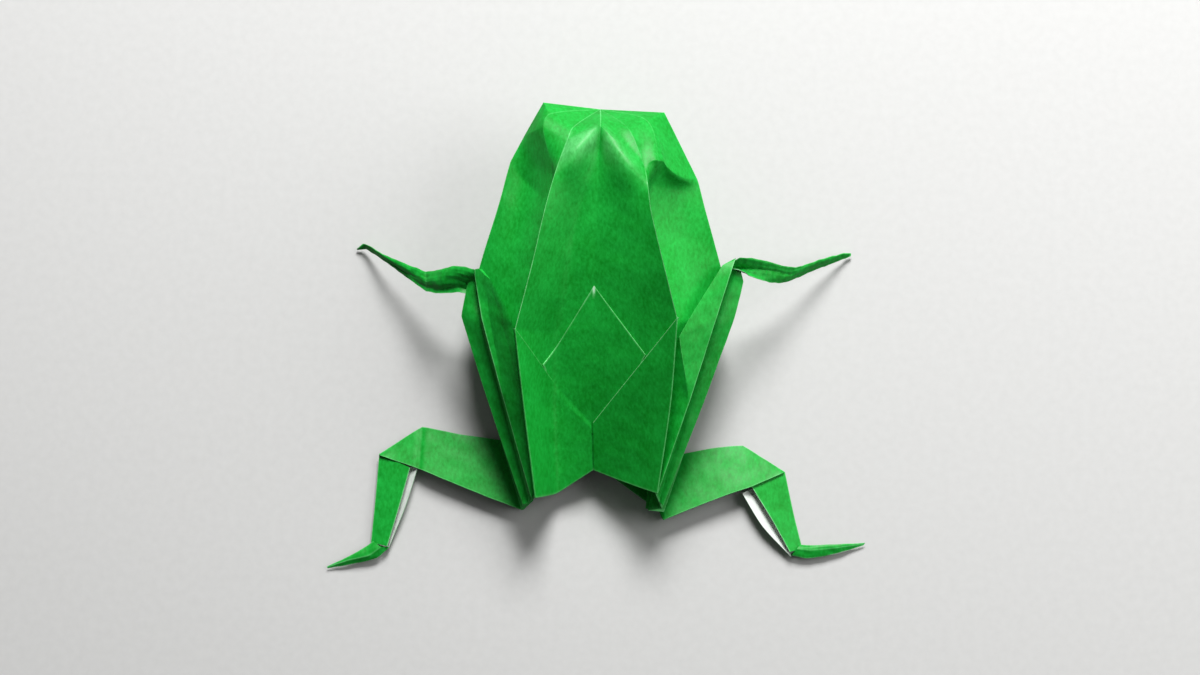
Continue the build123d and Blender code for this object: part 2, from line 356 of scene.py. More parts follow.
right_tuck = crease(
    (6.2, -2.4, 14.5), (7.7, -8.5, 16.6), (6.8, -11.4, 16.8), (6.8, -15.3, 16.5),
    (8.4, -22.2, 15.7), (10.2, -29.2, 14.5), (9.6, -39.1, 11.0), (8.2, -50.6, 6.8),
)
left_wing = crease(
    (-7.5, 0.1, 13.7), (-10.0, -4.3, 12.5), (-11.7, -7.7, 12.2), (-13.1, -13.5, 12.0),
    (-15.2, -20.75, 10.9), (-17.3, -28.5, 8.5), (-13.9, -38.7, 6.6), (-9.2, -52.3, 4.6),
)
right_wing = crease(
    (8.5, -0.6, 12.4), (13.0, -9.6, 12.0), (13.5, -11.4, 12.0), (14.1, -13.7, 12.0),
    (16.0, -20.15, 10.9), (18.1, -27.5, 8.5), (14.5, -38.0, 6.6), (9.1, -52.3, 4.6),
)

# The creases below the wings can't be seen from above. Each has the nose point
# and five places, at these stations, given for the right side
lower_stations = [NOSE, CHEEK, BROW, 4.7, WAIST, TAIL]
lower_folds = {
    "flank": [
        (5.4, -0.6, 10.4), (8.8, -8.2, 9.9), (11.2, -20.4, 8.0), (12.2, -27.9, 6.2), (7.3, -52.4, 3.7),
    ],
    "hip": [
        (7.3, -0.8, 8.6), (11.8, -8.4, 7.6), (15.4, -20.5, 5.6), (17.4, -27.9, 4.0), (9.4, -52.4, 2.6),
    ],
    "seam": [
        (5.0, -2.3, 6.8), (6.9, -8.6, 5.3), (8.2, -19.6, 4.0), (8.8, -28.9, 3.0), (7.0, -51.9, 1.9),
    ],
    "keel": [
        (3.5, -3.4, 4.8), (5.6, -9.2, 2.3), (7.8, -19.0, 1.4), (9.8, -29.4, 1.0), (8.0, -51.4, 0.9),
    ],
    "belly": [
        (0.0, -1.9, 6.4), (0.0, -4.4, 3.4), (0.0, -17.0, 4.2), (0.0, -29.2, 3.4), (0.0, -46.0, 2.3),
    ],
}
# At the tail, three on the left end further forward, in front of the left ridge's end
left_end_forward = 2.0


def lower_crease(name, side):
    """A crease under the wings, on the right for side 1 and on the left for -1.

    Its nine stations lie on the straight lines between its places.
    """
    stations = np.arange(TAIL + 1)
    places = np.array([nose_point, *lower_folds[name]]) * (side, 1, 1)
    if side < 0 and name in ("keel", "seam", "flank"):
        places[-1, 1] += left_end_forward
    return np.stack([np.interp(stations, lower_stations, places[:, i]) for i in range(3)], axis=1)


creases = [
    back_valley, right_ridge, right_tuck, right_wing,
    lower_crease("flank", 1), lower_crease("hip", 1), lower_crease("seam", 1), lower_crease("keel", 1),
    lower_crease("belly", 1), lower_crease("keel", -1), lower_crease("seam", -1), lower_crease("hip", -1),
    lower_crease("flank", -1), left_wing, left_tuck, left_ridge,
]
creases = np.stack(creases, axis=1)

# How softly each crease turns at each station, from 0, sharp, to 1
turns = np.full(creases.shape[:2], 0.9)
turns[WAIST] = 0.0
turns[BROW, VALLEY] = 0.3
turns[BROW, LEFT_RIDGE] = 0.8
turns[CHEEK, [RIGHT_WING, LEFT_WING]] = 0.0
turns[BROW, RIGHT_WING] = 0.5
turns[BROW:CHEST, LEFT_WING] = 0.3

# How pale each crease is worn at each station
wear = np.zeros(creases.shape[:2])
wear[:, VALLEY] = (0.5, 0.35, 0.2, 0.0, 0.0, 0.0, 0.0, 0.0, 0.0)
wear[:, LEFT_RIDGE] = (0.25, 0.3, 0.4, 0.55, 0.65, 0.7, 0.8, 0.1, 0.1)
wear[:, RIGHT_RIDGE] = (0.2, 0.08, 0.1, 0.55, 0.65, 0.7, 0.8, 0.1, 0.1)
wear[:, LEFT_TUCK] = (0.2, 0.15, 0.1, 0.0, 0.0, 0.0, 0.0, 0.0, 0.0)
wear[:, RIGHT_TUCK] = (0.2, 0.15, 0.05, 0.0, 0.0, 0.0, 0.0, 0.0, 0.0)
wear[:, RIGHT_WING + 1:LEFT_WING] = 0.3
for wing in (RIGHT_WING, LEFT_WING):
    wear[:, wing] = (0.4, 0.4, 0.35, 0.3, 0.3, 0.3, 0.5, 0.4, 0.4)


def next_crease(panel):
    """The crease on the far side of a panel; the last panel closes the ring at crease 0."""
    return (panel + 1) % crease_count


def crease_at(number, u):
    """Places on a crease at u."""
    return along(creases[:, number], turns[:, number], u)


def fading(distance, reach):
    """1 at no distance, falling in a straight line to 0 at the reach."""
    return np.clip(1 - distance / reach, 0, 1)


def behind_brow(u, v, left):
    """Distance behind the brow's fold: it grows with u, and with v from the valley to the ridge."""
    gain = 0.7 if left else 0.1
    middle = np.interp(u, [CHEEK, BROW, NAPE, CHEST, FLANK], [-3.0, 0.0, 1.9, 5.8, 11.0])
    return middle * (1 + gain * v)


def brow_roll(u, v, left):
    """Height of the soft roll along the brow's fold.

    It is a bump exp(-((d - top) / reach)^2) over the distance d behind the
    fold, with a shorter reach towards the head. From the valley to the ridge it
    follows sin(pi v), to a power that grows with d, so it narrows further back.
    """
    height = 1.05
    top = 1.7
    head_reach, tail_reach = 1.5, 3.2
    behind = behind_brow(u, v, left)
    swell = np.exp(-((behind - top) / np.where(behind < top, head_reach, tail_reach)) ** 2)
    power = 0.7 + 0.3 * np.clip(behind, 0, 4)
    return height * swell * np.sin(np.pi * np.clip(v, 0, 1)) ** power


def half_profile(u, v, span, drop, left):
    """Height of the back from its valley to a ridge: span wide, and drop higher at the ridge.

    The floor tilts down to the left. On the right it steepens to the ridge as
    a v + (drop - a) v^2, where a is the slope beside the valley. On the left it
    goes on falling to a soft bend, and rises from there as x + sqrt(x^2 + e^2),
    where x is the share past the bend and e is how soft it is.
    """
    start, hip = 2.3, 6.6
    tilt = np.interp(u, [start, 3.2, CHEST, WAIST, hip, TAIL], [0.0, 0.10, 0.20, 0.30, 0.36, 0.25]) * span
    if not left:
        straight = np.interp(u, [BROW, 2.6], [1.0, 0.0])
        slope = tilt + (drop - tilt) * straight
        return slope * v + (drop - slope) * v ** 2
    bend = np.interp(u, [start, NAPE, 4.5, 5.5, hip, TAIL], [0.02, 0.15, 0.41, 0.43, 0.54, 0.66])
    soft = np.interp(u, [start, NAPE, CHEST, TAIL], [0.02, 0.08, 0.10, 0.06])
    valley, here, ridge = (x - bend + np.sqrt((x - bend) ** 2 + soft ** 2) for x in (0.0, v, 1.0))
    return (drop + tilt) * (here - valley) / (ridge - valley) - tilt * v


def right_dome(u):
    """Height of the bulge on the right brow.

    It rises to the brow's fold at u = 2 as top exp(-5/3 (2 - u)). Behind the
    fold it sinks below the panel by u = 4.4, as a power of the share of the way
    that is left, and comes back as a smooth step by u = 6.4.
    """
    top, depth = 0.7, 2.0
    length, back_length = 2.4, 2.0
    foot = BROW + length
    rise = top * np.exp(-np.maximum(BROW - u, 0) * 5.0 / 3.0)
    fall = -depth + (top + depth) * fading(np.maximum(u - BROW, 0), length) ** 2.2
    back = -depth * (1 - ease((u - foot) / back_length))
    return np.where(u < BROW, rise, np.where(u < foot, fall, back))


def left_puff(u, w):
    """Height of the left cheek, which swells to the brow's fold at u = 2, and of the facet behind it.

    The facet falls in a straight line below the panel, to a bend that slants
    from u = 3 at the wing to 3.6 at the tuck. From there it comes back as a
    smooth step over 2.6 of u.
    """
    top, depth = 0.3, 1.6
    back_length = 2.6
    bend = 3.0 + 0.6 * w
    rise = top * ease(u / BROW)
    fall = top - (top + depth) * (u - BROW) / (bend - BROW)
    back = -depth * (1 - ease((u - bend) / back_length))
    return np.where(u < BROW, rise, np.where(u < bend, fall, back))


# The rim of the right bulge bends forward beside the ridge and sags towards the
# wing: its shifts forward at shares of the right side's width
rim_station, rim_reach = 2.05, 0.45
rim_bow = 0.3
rim_shares = [0, 0.06, 0.13, 0.21, 0.34, 0.47, 0.62, 0.8, 1]
rim_shifts = [0, 0.1, 0.24, -0.27, -0.6, -0.76, -0.74, -0.5, 0]
# The body's crumple, coarse and fine: height, wave length and random seed
body_crumple = ((0.05, 7.0, 3), (0.022, 2.6, 5))


def body_place(panel, u, w):
    """Places on a panel of the body, at u along its creases and at the share w across it.

    Each is on the straight line between the two creases at u, plus the panel's
    relief, which is the same on both sides of a crease, so that panels stay
    joined. u and w are arrays of one shape.
    """
    first, second = crease_at(panel, u), crease_at(next_crease(panel), u)
    p = first + (second - first) * w[..., None]
    rise = 0.0 * w
    if panel in (RIGHT_BACK, LEFT_BACK):
        left = panel == LEFT_BACK
        v = 1 - w if left else w
        drop = (second[..., 2] - first[..., 2]) * (-1 if left else 1)
        span = np.linalg.norm(second - first, axis=-1)
        profile = half_profile(u, v, span, drop, left)
        rise = rise + brow_roll(u, v, left) + ease((u - BROW) / 0.8) * (profile - drop * v)
    if panel in (RIGHT_RIM, RIGHT_SIDE):
        share = ease(w) if panel == RIGHT_RIM else 1 - w ** 2
        shift = rim_bow * np.sin(np.pi * w) if panel == RIGHT_RIM else np.interp(w, rim_shares, rim_shifts)
        rise = rise + right_dome(u) * share
        p[..., 1] += shift * np.exp(-((u - rim_station) / rim_reach) ** 2)
    if panel == LEFT_SIDE:
        rise = rise + left_puff(u, w) * np.sin(np.pi * np.clip(w, 0, 1)) ** 1.05
    # The crumple dies away at the nose point
    crumpled = ease(u / 1.5)
    crumple = sum(height * soft_waves(p, wave, seed) for height, wave, seed in body_crumple)
    p[..., 2] += rise + crumpled * crumple
    return p


def crease_wear_and_brow_highlight(panel, u, w, width):
    """How pale a panel of the body is worn, with a painted highlight on the back.

    Each crease's own wear fades to none one line's width away from it. The back
    also has a painted highlight along the brow's roll, as exp(-((d - 0.9) / 1.5)^2)
    over the distance d behind the fold, stronger towards the left ridge and
    fainter towards the right ridge.
    """
    stations = np.arange(len(wear))
    near = np.interp(u, stations, wear[:, panel]) * fading(w * width, crease_line)
    far = np.interp(u, stations, wear[:, next_crease(panel)]) * fading((1 - w) * width, crease_line)
    pale = np.maximum(near, far)
    if panel in (RIGHT_BACK, LEFT_BACK):
        left = panel == LEFT_BACK
        v = 1 - w if left else w
        # The painted highlight along the brow's roll
        paling = np.exp(-((behind_brow(u, v, left) - 0.9) / 1.5) ** 2) * ease(v * 6)
        strength = 0.22 + (0.10 if left else -0.20) * v
        pale = np.maximum(pale, paling * strength)
    return pale


def make_body():
    """The blown-up body: its panels side by side as one ring of columns, from the nose to the tail.

    Beside each crease the wall thins to a fifth, so that the inner faces of the
    two panels don't cut through each other.
    """
    shown_columns = {
        RIGHT_BACK: 28, RIGHT_RIM: 8, RIGHT_SIDE: 34,
        LEFT_SIDE: 34, LEFT_RIM: 8, LEFT_BACK: 28,
    }
    hidden_columns = 4
    thinnest, thinning = 0.2, 0.5
    tail_wear = 0.4
    green_from = 7.2
    rows = np.union1d(rows_between((16, 24, 26, 24, 20, 20, 14, 14)), [2.02, 2.07, 2.1, 2.14])
    strips, shades, walls = [], [], []
    for panel in range(crease_count):
        width = np.linalg.norm(crease_at(next_crease(panel), rows) - crease_at(panel, rows), axis=1)
        w = shares_across(width, shown_columns.get(panel, hidden_columns))[:, :-1]
        u = np.broadcast_to(rows[:, None], w.shape)
        strips.append(body_place(panel, u, w))
        # Crease wear, and on the back the painted highlight along the brow's roll
        shades.append(crease_wear_and_brow_highlight(panel, u, w, width[:, None]))
        away = np.minimum(w, 1 - w) * width[:, None]
        walls.append(body_wall * np.clip(thinnest + away / thinning, 0, 1))
    grid, pale, walls = (np.concatenate(parts, axis=1)[:, ::-1] for parts in (strips, shades, walls))
    pale[-1] = np.maximum(pale[-1], tail_wear)
    # Inside, the paper is white, but green again near the tail
    white = np.broadcast_to((rows < green_from)[:, None], pale.shape)
    sheet_of_paper("body_shell", grid, walls, pale, white, wrap=True)


make_body()


# Flaps on the back and belly

def edge_lines(s, t, size, strengths):
    """How pale a flap's edges are worn.

    Each of its four sides, t = 0, t = 1, s = 0 and s = 1, has a strength, which
    fades over one line's width. size is the flap's length along s and its
    width along t.
    """
    length, width = size
    distances = (t * width, (1 - t) * width, s * length, (1 - s) * length)
    return np.max([k * fading(d, edge_line) for k, d in zip(strengths, distances)], axis=0)


def flap_columns(width, count):
    """Column shares that are the same for each row of a flap, thin beside both edges."""
    return shares_across(np.array([width]), count)[0]


# Plan places of the petal's point and corners, of the foot of the V, and of a
# place well behind the tail
petal_point = (-0.4, -24.3)
petal_corners = ((-6.8, -34.4), (6.5, -33.4))
pages_foot = (-0.4, -41.4)
past_tail = (0.0, -60.0)
page_columns = flap_columns(10.0, 24)


def panel_at(panel, x, y):
    """Crease parameter u and share w of a panel over plan places.

    The range of u is halved until the line across the panel meets each place.
    """
    halvings = 26
    low, high = np.full(x.shape, float(CHEEK)), np.full(x.shape, float(TAIL))
    for _ in range(halvings):
        u = (low + high) / 2
        first, second = crease_at(panel, u), crease_at(next_crease(panel), u)
        w = (x - first[..., 0]) / (second[..., 0] - first[..., 0])
        beyond = first[..., 1] + (second[..., 1] - first[..., 1]) * w < y
        low, high = np.where(beyond, low, u), np.where(beyond, u, high)
    return u, np.clip(w, 0, 1)


def middle_line(panel, ends, s):
    """Plan places at the shares s along the panel's middle crease, between those beside the two ends."""
    middle = next_crease(panel) if panel in (RIGHT_BELLY, LEFT_BACK) else panel
    backwards = [-end[1] for end in ends]
    start, stop = np.interp(backwards, -creases[CHEEK:, middle, 1], np.arange(CHEEK, TAIL + 1))
    return crease_at(middle, start + (stop - start) * s)[..., :2]


def make_petal(name, panels, lift):
    """A petal flap on a right and a left panel.

    Its rows run from its point to its foot, and are widest at its corners. Its
    edges are straight in plan, and each place lies on the body, raised by the
    lift. Past its corners it slips under the pages. Its edges are worn pale up
    to the corners, and its point is worn bare.
    """
    corners_at, slip = 0.56, 1.2
    half_width = 7.0
    edge_wear = 0.6
    s = np.unique(np.concatenate([np.linspace(0, 1, 60), [0.006, 0.015, 0.03, corners_at]]))
    t = flap_columns(8.0, 16)
    middle = middle_line(panels[0], (petal_point, pages_foot), s)
    out = np.where(s < corners_at, s / corners_at, (1 - s) / (1 - corners_at))[:, None]
    end = np.where((s < corners_at)[:, None], middle[0], middle[-1])
    halves, shades = [], []
    for panel, corner in zip(panels, petal_corners[::-1]):
        edge = end + (np.array(corner) - end) * out
        plan = middle[:, None] + (edge - middle)[:, None] * t[None, :, None]
        plan[..., 1] -= slip * ease((s - corners_at) / 0.08)[:, None]
        p = body_place(panel, *panel_at(panel, plan[..., 0], plan[..., 1]))
        p[..., 2] += lift * (0.35 + 0.65 * out)
        halves.append(p)
        line = 0.13 if corner[0] > 0 else 0.18 + 0.3 * fading(s[:, None], 0.2)
        shade = edge_wear * fading((1 - t[None, :]) * (out * half_width), line)
        shades.append(shade * (s[:, None] < corners_at + 0.02))
    grid, pale = (np.concatenate([left[:, ::-1], right[:, 1:]], axis=1) for right, left in (halves, shades))
    beside = np.abs(np.linspace(-1, 1, pale.shape[1])) * out * half_width
    bare_point = np.clip(1.6 - s / 0.06, 0, 1)[:, None] * np.clip(1.7 - beside / 0.16, 0, 1)
    pale = np.maximum(pale, bare_point)
    if lift > 0:
        grid, pale = grid[:, ::-1], pale[:, ::-1]
    sheet_of_paper(name, grid, flap_wall, pale, reverse=0)


def make_page(name, panel, lift, edges, sink=0.0):
    """A page over the tail end of a panel.

    Its rows run from its slanted edge on the V to its tail edge, its columns
    from the body's valley to its ridge. The slanted edge is straight in plan,
    from the foot of the V to the ridge at the waist. Each place lies on the
    panel there, raised by the lift. edges is how worn it is at the valley, the
    ridge, the slanted edge and the tail, and sink is how far it sinks into the
    petal towards the foot of the V.
    """
    page_wall, rim_wall = 0.14, 0.04
    rim_share = 0.016
    gap = 0.012
    s = np.unique(np.concatenate([np.linspace(0, 1, 70), [0.005, 0.012, 0.988, 0.995]]))
    ridge = next_crease(panel) if panel in (RIGHT_BACK, LEFT_BELLY) else panel
    inner = middle_line(panel, (pages_foot, past_tail), s)
    outer = crease_at(ridge, WAIST + (TAIL - WAIST) * s)[..., :2]
    plan = inner[:, None] + (outer - inner)[:, None] * (gap + (1 - gap) * page_columns)[None, :, None]
    p = body_place(panel, *panel_at(panel, plan[..., 0], plan[..., 1]))
    v = np.broadcast_to(page_columns[None, :], p.shape[:2])
    s = s[:, None]
    sunk = sink * (1 - ease((v - 0.42) / 0.12)) * (1 - ease(s / 0.14))
    raised = lift * (0.55 + 0.45 * v)
    p[..., 2] += raised - sunk
    length = np.linalg.norm(np.diff(p, axis=0), axis=-1).sum(axis=0)[None, :]
    width = np.linalg.norm(p[:, -1] - p[:, 0], axis=-1)[:, None]
    pale = edge_lines(s, v, (length, width), edges)
    # At its slanted edge the page is thick enough to reach the petal
    rim = fading(s, rim_share)
    wall = page_wall * (1 - rim) + (np.abs(raised) + rim_wall) * rim - 0.8 * sunk
    if (panel in (RIGHT_BACK, RIGHT_BELLY)) == (lift > 0):
        p, pale, wall = p[:, ::-1], pale[:, ::-1], wall[:, ::-1]
    sheet_of_paper(name, p, wall, pale, reverse=0)


back_petal_lift, back_page_lift = 0.20, 0.40
belly_petal_lift, belly_page_lift = -0.26, -0.50
belly_edges = (0.2, 0.35, 0.5, 0.4)
# The left page's slanted edge is worn on its outer half alone
left_slant = 0.45 * ease((page_columns[None, :] - 0.48) / 0.1)
make_petal("petal_on_back", (RIGHT_BACK, LEFT_BACK), back_petal_lift)
make_page("left_back_page", LEFT_BACK, back_page_lift, (0.0, 0.25, left_slant, 0.30), sink=0.12)
make_page("right_back_page", RIGHT_BACK, back_page_lift, (0.0, 0.4, 0.9, 0.35))
make_petal("petal_on_belly", (RIGHT_BELLY, LEFT_BELLY), belly_petal_lift)
make_page("left_belly_page", LEFT_BELLY, belly_page_lift, belly_edges)
make_page("right_belly_page", RIGHT_BELLY, belly_page_lift, belly_edges)


# Strips: forelegs, arms, thighs, shins and feet

def at_stations(value, count):
    """One number for each of count stations, where value may be a single number."""
    return np.broadcast_to(np.asarray(value, float), (count,))


def make_strip(name, rails, wear_and_highlight, wall, columns, counts, softness=0.8, taper=0.3, reverse=0,
               crumple=(0.06, 2.2, 11), tip=0.0, cross=None, dent=None, flip=False):
    """A folded strip: straight from rail to rail across, with each rail a soft curve through its stations.

    rails holds the places of each fold and edge, all with the same number of
    stations, and worn how pale some of them are, a number or one for each
    station. tip is the wear of the last station, cross the station and wear of
    a crease across the strip, and dent the station and depth of a valley crease
    across it. crumple is a height, a wave length and a random seed. Towards
    each fold between two layers the wall thins by the taper for each
    millimetre, so that the layers don't cut through each other there.
    """
    tip_reach, cross_reach, dent_reach = 0.25, 0.08, 0.5
    thinnest = 0.012
    places = np.stack([np.asarray(rail, float) for rail in rails.values()], axis=1)
    stations, folds = places.shape[:2]
    rows = rows_between(counts, near=0.06)
    curves = along(places, at_stations(softness, stations), rows)
    wears = []
    for label in rails:
        strengths = at_stations(wear_and_highlight.get(label, 0.0), stations)
        wears.append(np.interp(rows, np.arange(stations), strengths)[:, None])
    strips, shades, walls = [], [], []
    for k in range(folds - 1):
        first, second = curves[:, k], curves[:, k + 1]
        width = np.linalg.norm(second - first, axis=1)
        w = shares_across(width, columns, line=edge_line)
        last = k == folds - 2
        if not last:
            w = w[:, :-1]
        width = width[:, None]
        strips.append(first[:, None] + (second - first)[:, None] * w[..., None])
        near = wears[k] * fading(w * width, edge_line)
        far = wears[k + 1] * fading((1 - w) * width, edge_line)
        shades.append(np.maximum(near, far))
        away = np.minimum(w if k else 1.0, 1.0 if last else 1 - w) * width
        walls.append(np.minimum(wall, thinnest + taper * away))
    grid, pale, walls = (np.concatenate(parts, axis=1) for parts in (strips, shades, walls))
    height, wave, seed = crumple
    grid[..., 2] += height * soft_waves(grid, wave, seed)
    grid[..., 1] += 0.5 * height * soft_waves(grid, wave, seed + 1)
    u = rows[:, None]
    if dent:
        station, depth = dent
        run = np.linalg.norm(places[station] - places[station - 1], axis=-1).mean()
        grid[..., 2] -= depth * fading(np.abs(u - station) * run, dent_reach)
    pale = np.maximum(pale, tip * fading(stations - 1 - u, tip_reach))
    if cross:
        station, strength = cross
        pale = np.maximum(pale, strength * fading(np.abs(u - station), cross_reach))
    if flip:
        grid, pale, walls = grid[:, ::-1], pale[:, ::-1], walls[:, ::-1]
    sheet_of_paper(name, grid, walls, pale, reverse)


# Forelegs, from the tail to the shoulder. The inner fold lies beside the page
both_forelegs = {"wall": 0.18, "columns": 9, "counts": (24, 22, 20, 8), "softness": 0.15}
make_strip(
    "right_foreleg",
    rails={
        "upper open edge": [
            (8.4, -51.0, 8.0), (12.5, -38.9, 11.9), (15.7, -28.3, 13.1), (17.7, -21.6, 12.9),
            (18.1, -20.2, 12.5),
        ],
        "crest": [
            (8.3, -50.7, 8.0), (12.2, -38.8, 12.0), (10.85, -31.3, 14.8), (16.4, -21.3, 12.9),
            (17.9, -20.3, 12.4),
        ],
        "inner fold": [
            (8.1, -49.0, 6.6), (9.9, -38.6, 11.0), (10.6, -31.6, 14.2), (16.0, -21.7, 12.0),
            (17.5, -20.7, 12.0),
        ],
        "trough": [
            (8.7, -51.4, 5.6), (12.5, -38.4, 8.5), (15.7, -28.3, 10.6), (17.4, -22.6, 10.6),
            (17.9, -21.0, 11.0),
        ],
        "lower open edge": [
            (9.2, -52.0, 5.4), (14.4, -38.1, 7.8), (18.1, -27.5, 9.4), (19.2, -22.8, 10.0),
            (18.8, -21.4, 10.5),
        ],
    },
    wear_and_highlight={"upper open edge": 0.5, "crest": (0.0, 0.0, 0.15, 0.0, 0.0), "lower open edge": 0.3},
    flip=True, **both_forelegs,
)
make_strip(
    "left_foreleg",
    rails={
        "upper open edge": [
            (-8.0, -51.7, 7.4), (-11.9, -39.1, 10.4), (-14.9, -28.9, 12.2), (-16.0, -23.0, 11.8),
            (-16.0, -22.2, 11.9),
        ],
        "crest": [
            (-7.9, -51.4, 7.5), (-11.7, -39.0, 10.6), (-13.9, -28.8, 12.3), (-14.6, -23.3, 13.2),
            (-15.5, -22.2, 12.3),
        ],
        "inner fold": [
            (-7.6, -49.6, 7.8), (-9.5, -38.9, 12.0), (-10.9, -29.4, 14.6), (-13.9, -23.9, 13.6),
            (-15.0, -22.3, 12.2),
        ],
        "trough": [
            (-8.4, -52.0, 5.6), (-12.2, -39.0, 8.5), (-15.2, -29.0, 10.4), (-15.8, -23.8, 10.5),
            (-15.9, -22.8, 10.9),
        ],
        "lower open edge": [
            (-9.1, -52.2, 5.4), (-14.1, -38.4, 7.8), (-17.6, -28.0, 9.3), (-17.0, -24.2, 10.0),
            (-16.6, -23.0, 10.4),
        ],
    },
    wear_and_highlight={"upper open edge": 0.5, "lower open edge": 0.3}, **both_forelegs,
)


def across_arm(top, bottom, folds):
    """Rails of a pinched arm.

    Each lies a share of the way from the arm's top edge to its bottom edge,
    raised by a height. folds gives both, a number or one for each station.
    """
    top, bottom = np.array(top), np.array(bottom)
    up = np.array([0.0, 0.0, 1.0])
    rails = {}
    for label, values in folds.items():
        share, height = (at_stations(value, len(top))[:, None] for value in values)
        rails[label] = top + (bottom - top) * share + height * up
    return rails


# Arms, from the shoulder to the hand
left_arm_top = [
    (-15.4, -22.4, 11.8), (-17.5, -21.8, 11.4), (-18.9, -21.5, 10.4), (-20.4, -21.6, 9.0),
    (-22.7, -21.5, 6.8), (-26.4, -19.6, 4.6), (-28.8, -18.3, 3.1), (-30.7, -16.9, 1.8),
    (-31.6, -16.5, 1.2), (-32.5, -17.1, 0.6),
]
left_arm_bottom = [
    (-16.2, -25.3, 10.2), (-17.8, -24.9, 9.8), (-19.2, -24.8, 9.1), (-20.6, -24.8, 8.4),
    (-22.5, -24.2, 6.8), (-25.8, -21.4, 4.3), (-28.2, -19.4, 2.9), (-30.2, -17.8, 1.5),
    (-31.2, -17.1, 0.9), (-32.4, -17.2, 0.5),
]
right_arm_top = [
    (17.6, -20.7, 12.1), (18.6, -20.1, 12.1), (20.0, -19.9, 11.4), (22.3, -19.9, 9.8),
    (24.1, -20.0, 8.2), (25.8, -19.9, 6.6), (27.2, -19.4, 5.3), (29.3, -18.3, 3.9),
    (31.4, -17.3, 2.5), (33.1, -16.6, 1.3), (34.1, -16.4, 0.6),
]
right_arm_bottom = [
    (17.9, -21.4, 11.2), (19.0, -21.7, 10.9), (20.0, -22.1, 10.1), (22.0, -22.4, 8.7),
    (23.4, -22.3, 7.5), (25.0, -21.8, 6.1), (26.7, -20.8, 4.9), (29.1, -19.3, 3.4),
    (31.2, -18.2, 2.1), (33.0, -17.3, 1.1), (34.1, -16.8, 0.5),
]
both_arms = {"wall": 0.16, "columns": 7, "taper": 0.15, "tip": 1.0}
make_strip(
    "left_arm",
    rails=across_arm(left_arm_top, left_arm_bottom, {
        "hidden edge": (0.85, (-1.6, -1.6, -1.5, -1.4, -1.2, -0.9, -0.6, -0.4, -0.3, -0.2)),
        "hidden fold": (0.5, (-1.5, -1.7, -1.6, -1.5, -1.4, -1.0, -0.7, -0.5, -0.4, -0.3)),
        "top fold": (0.0, 0.0),
        "upper ridge": (
            (0.3, 0.3, 0.25, 0.2, 0.3, 0.4, 0.4, 0.4, 0.4, 0.4),
            (-0.5, 0.3, 0.6, 0.6, 0.3, 0.4, 0.3, 0.1, 0.1, 0.0),
        ),
        "middle ridge": (
            (0.6, 0.55, 0.5, 0.5, 0.55, 0.7, 0.7, 0.7, 0.7, 0.7),
            (-1.2, -0.2, 0.5, 0.8, 0.6, -0.1, -0.1, 0.0, 0.0, 0.0),
        ),
        "lower ridge": (
            (0.8, 0.8, 0.82, 0.84, 0.8, 0.85, 0.85, 0.85, 0.85, 0.85),
            (-0.9, -0.3, 0.0, 0.1, 0.1, 0.1, 0.0, -0.2, -0.2, 0.0),
        ),
        "bottom edge": (1.0, (-0.3, -0.1, 0.0, 0.1, 0.1, 0.0, -0.1, -0.2, -0.2, 0.0)),
    }),
    wear_and_highlight={
        "hidden edge": 0.4,
        "top fold": (0.7, 0.6, 0.2, 0.1, 0.2, 0.3, 0.4, 0.9, 1.0, 1.0),
        "lower ridge": 0.1,
        "bottom edge": (0.9, 0.9, 0.95, 0.95, 0.8, 0.3, 0.3, 0.2, 0.5, 1.0),
    },
    counts=(8, 8, 8, 12, 16, 12, 10, 6, 6), softness=(0.8, 0.8, 0.6, 0.6, 0.1, 0.8, 0.8, 0.4, 0.4, 0.8),
    crumple=(0.08, 1.1, 21), cross=(4, 0.3), **both_arms,
)
make_strip(
    "right_arm",
    rails=across_arm(right_arm_top, right_arm_bottom, {
        "hidden edge": (0.75, (-1.8, -1.8, -1.7, -1.5, -1.4, -1.1, -0.9, -0.8, -0.6, -0.4, -0.2)),
        "hidden fold": (0.4, (-1.8, -1.9, -1.9, -1.7, -1.5, -1.2, -1.0, -0.9, -0.7, -0.5, -0.3)),
        "top fold": (0.0, 0.0),
        "upper ridge": (0.16, (-0.1, -0.1, 0.0, 0.1, 0.1, 0.1, 0.1, 0.15, 0.15, 0.1, 0.05)),
        "hollow": (
            (0.6, 0.6, 0.5, 0.42, 0.36, 0.5, 0.5, 0.5, 0.5, 0.5, 0.5),
            (-1.0, -1.1, -0.6, -0.2, 0.0, 0.1, 0.2, 0.15, 0.1, 0.05, 0.0),
        ),
        "lower ridge": (0.8, (-0.5, -0.4, -0.1, 0.2, 0.3, 0.2, -0.1, -0.25, -0.2, -0.1, 0.0)),
        "bottom edge": (1.0, (0.2, 0.4, 0.4, 0.3, 0.2, 0.0, -0.3, -0.5, -0.4, -0.2, 0.0)),
    }),
    wear_and_highlight={
        "hidden edge": 0.4,
        "top fold": (0.6, 0.5, 0.3, 0.3, 0.3, 0.3, 0.4, 0.5, 0.6, 0.9, 1.0),
        "bottom edge": (0.9, 1.0, 1.0, 0.7, 0.4, 0.2, 0.2, 0.2, 0.2, 0.5, 1.0),
    },
    counts=(6, 8, 10, 10, 10, 10, 10, 10, 10, 8), crumple=(0.08, 1.1, 31), flip=True, **both_arms,
)

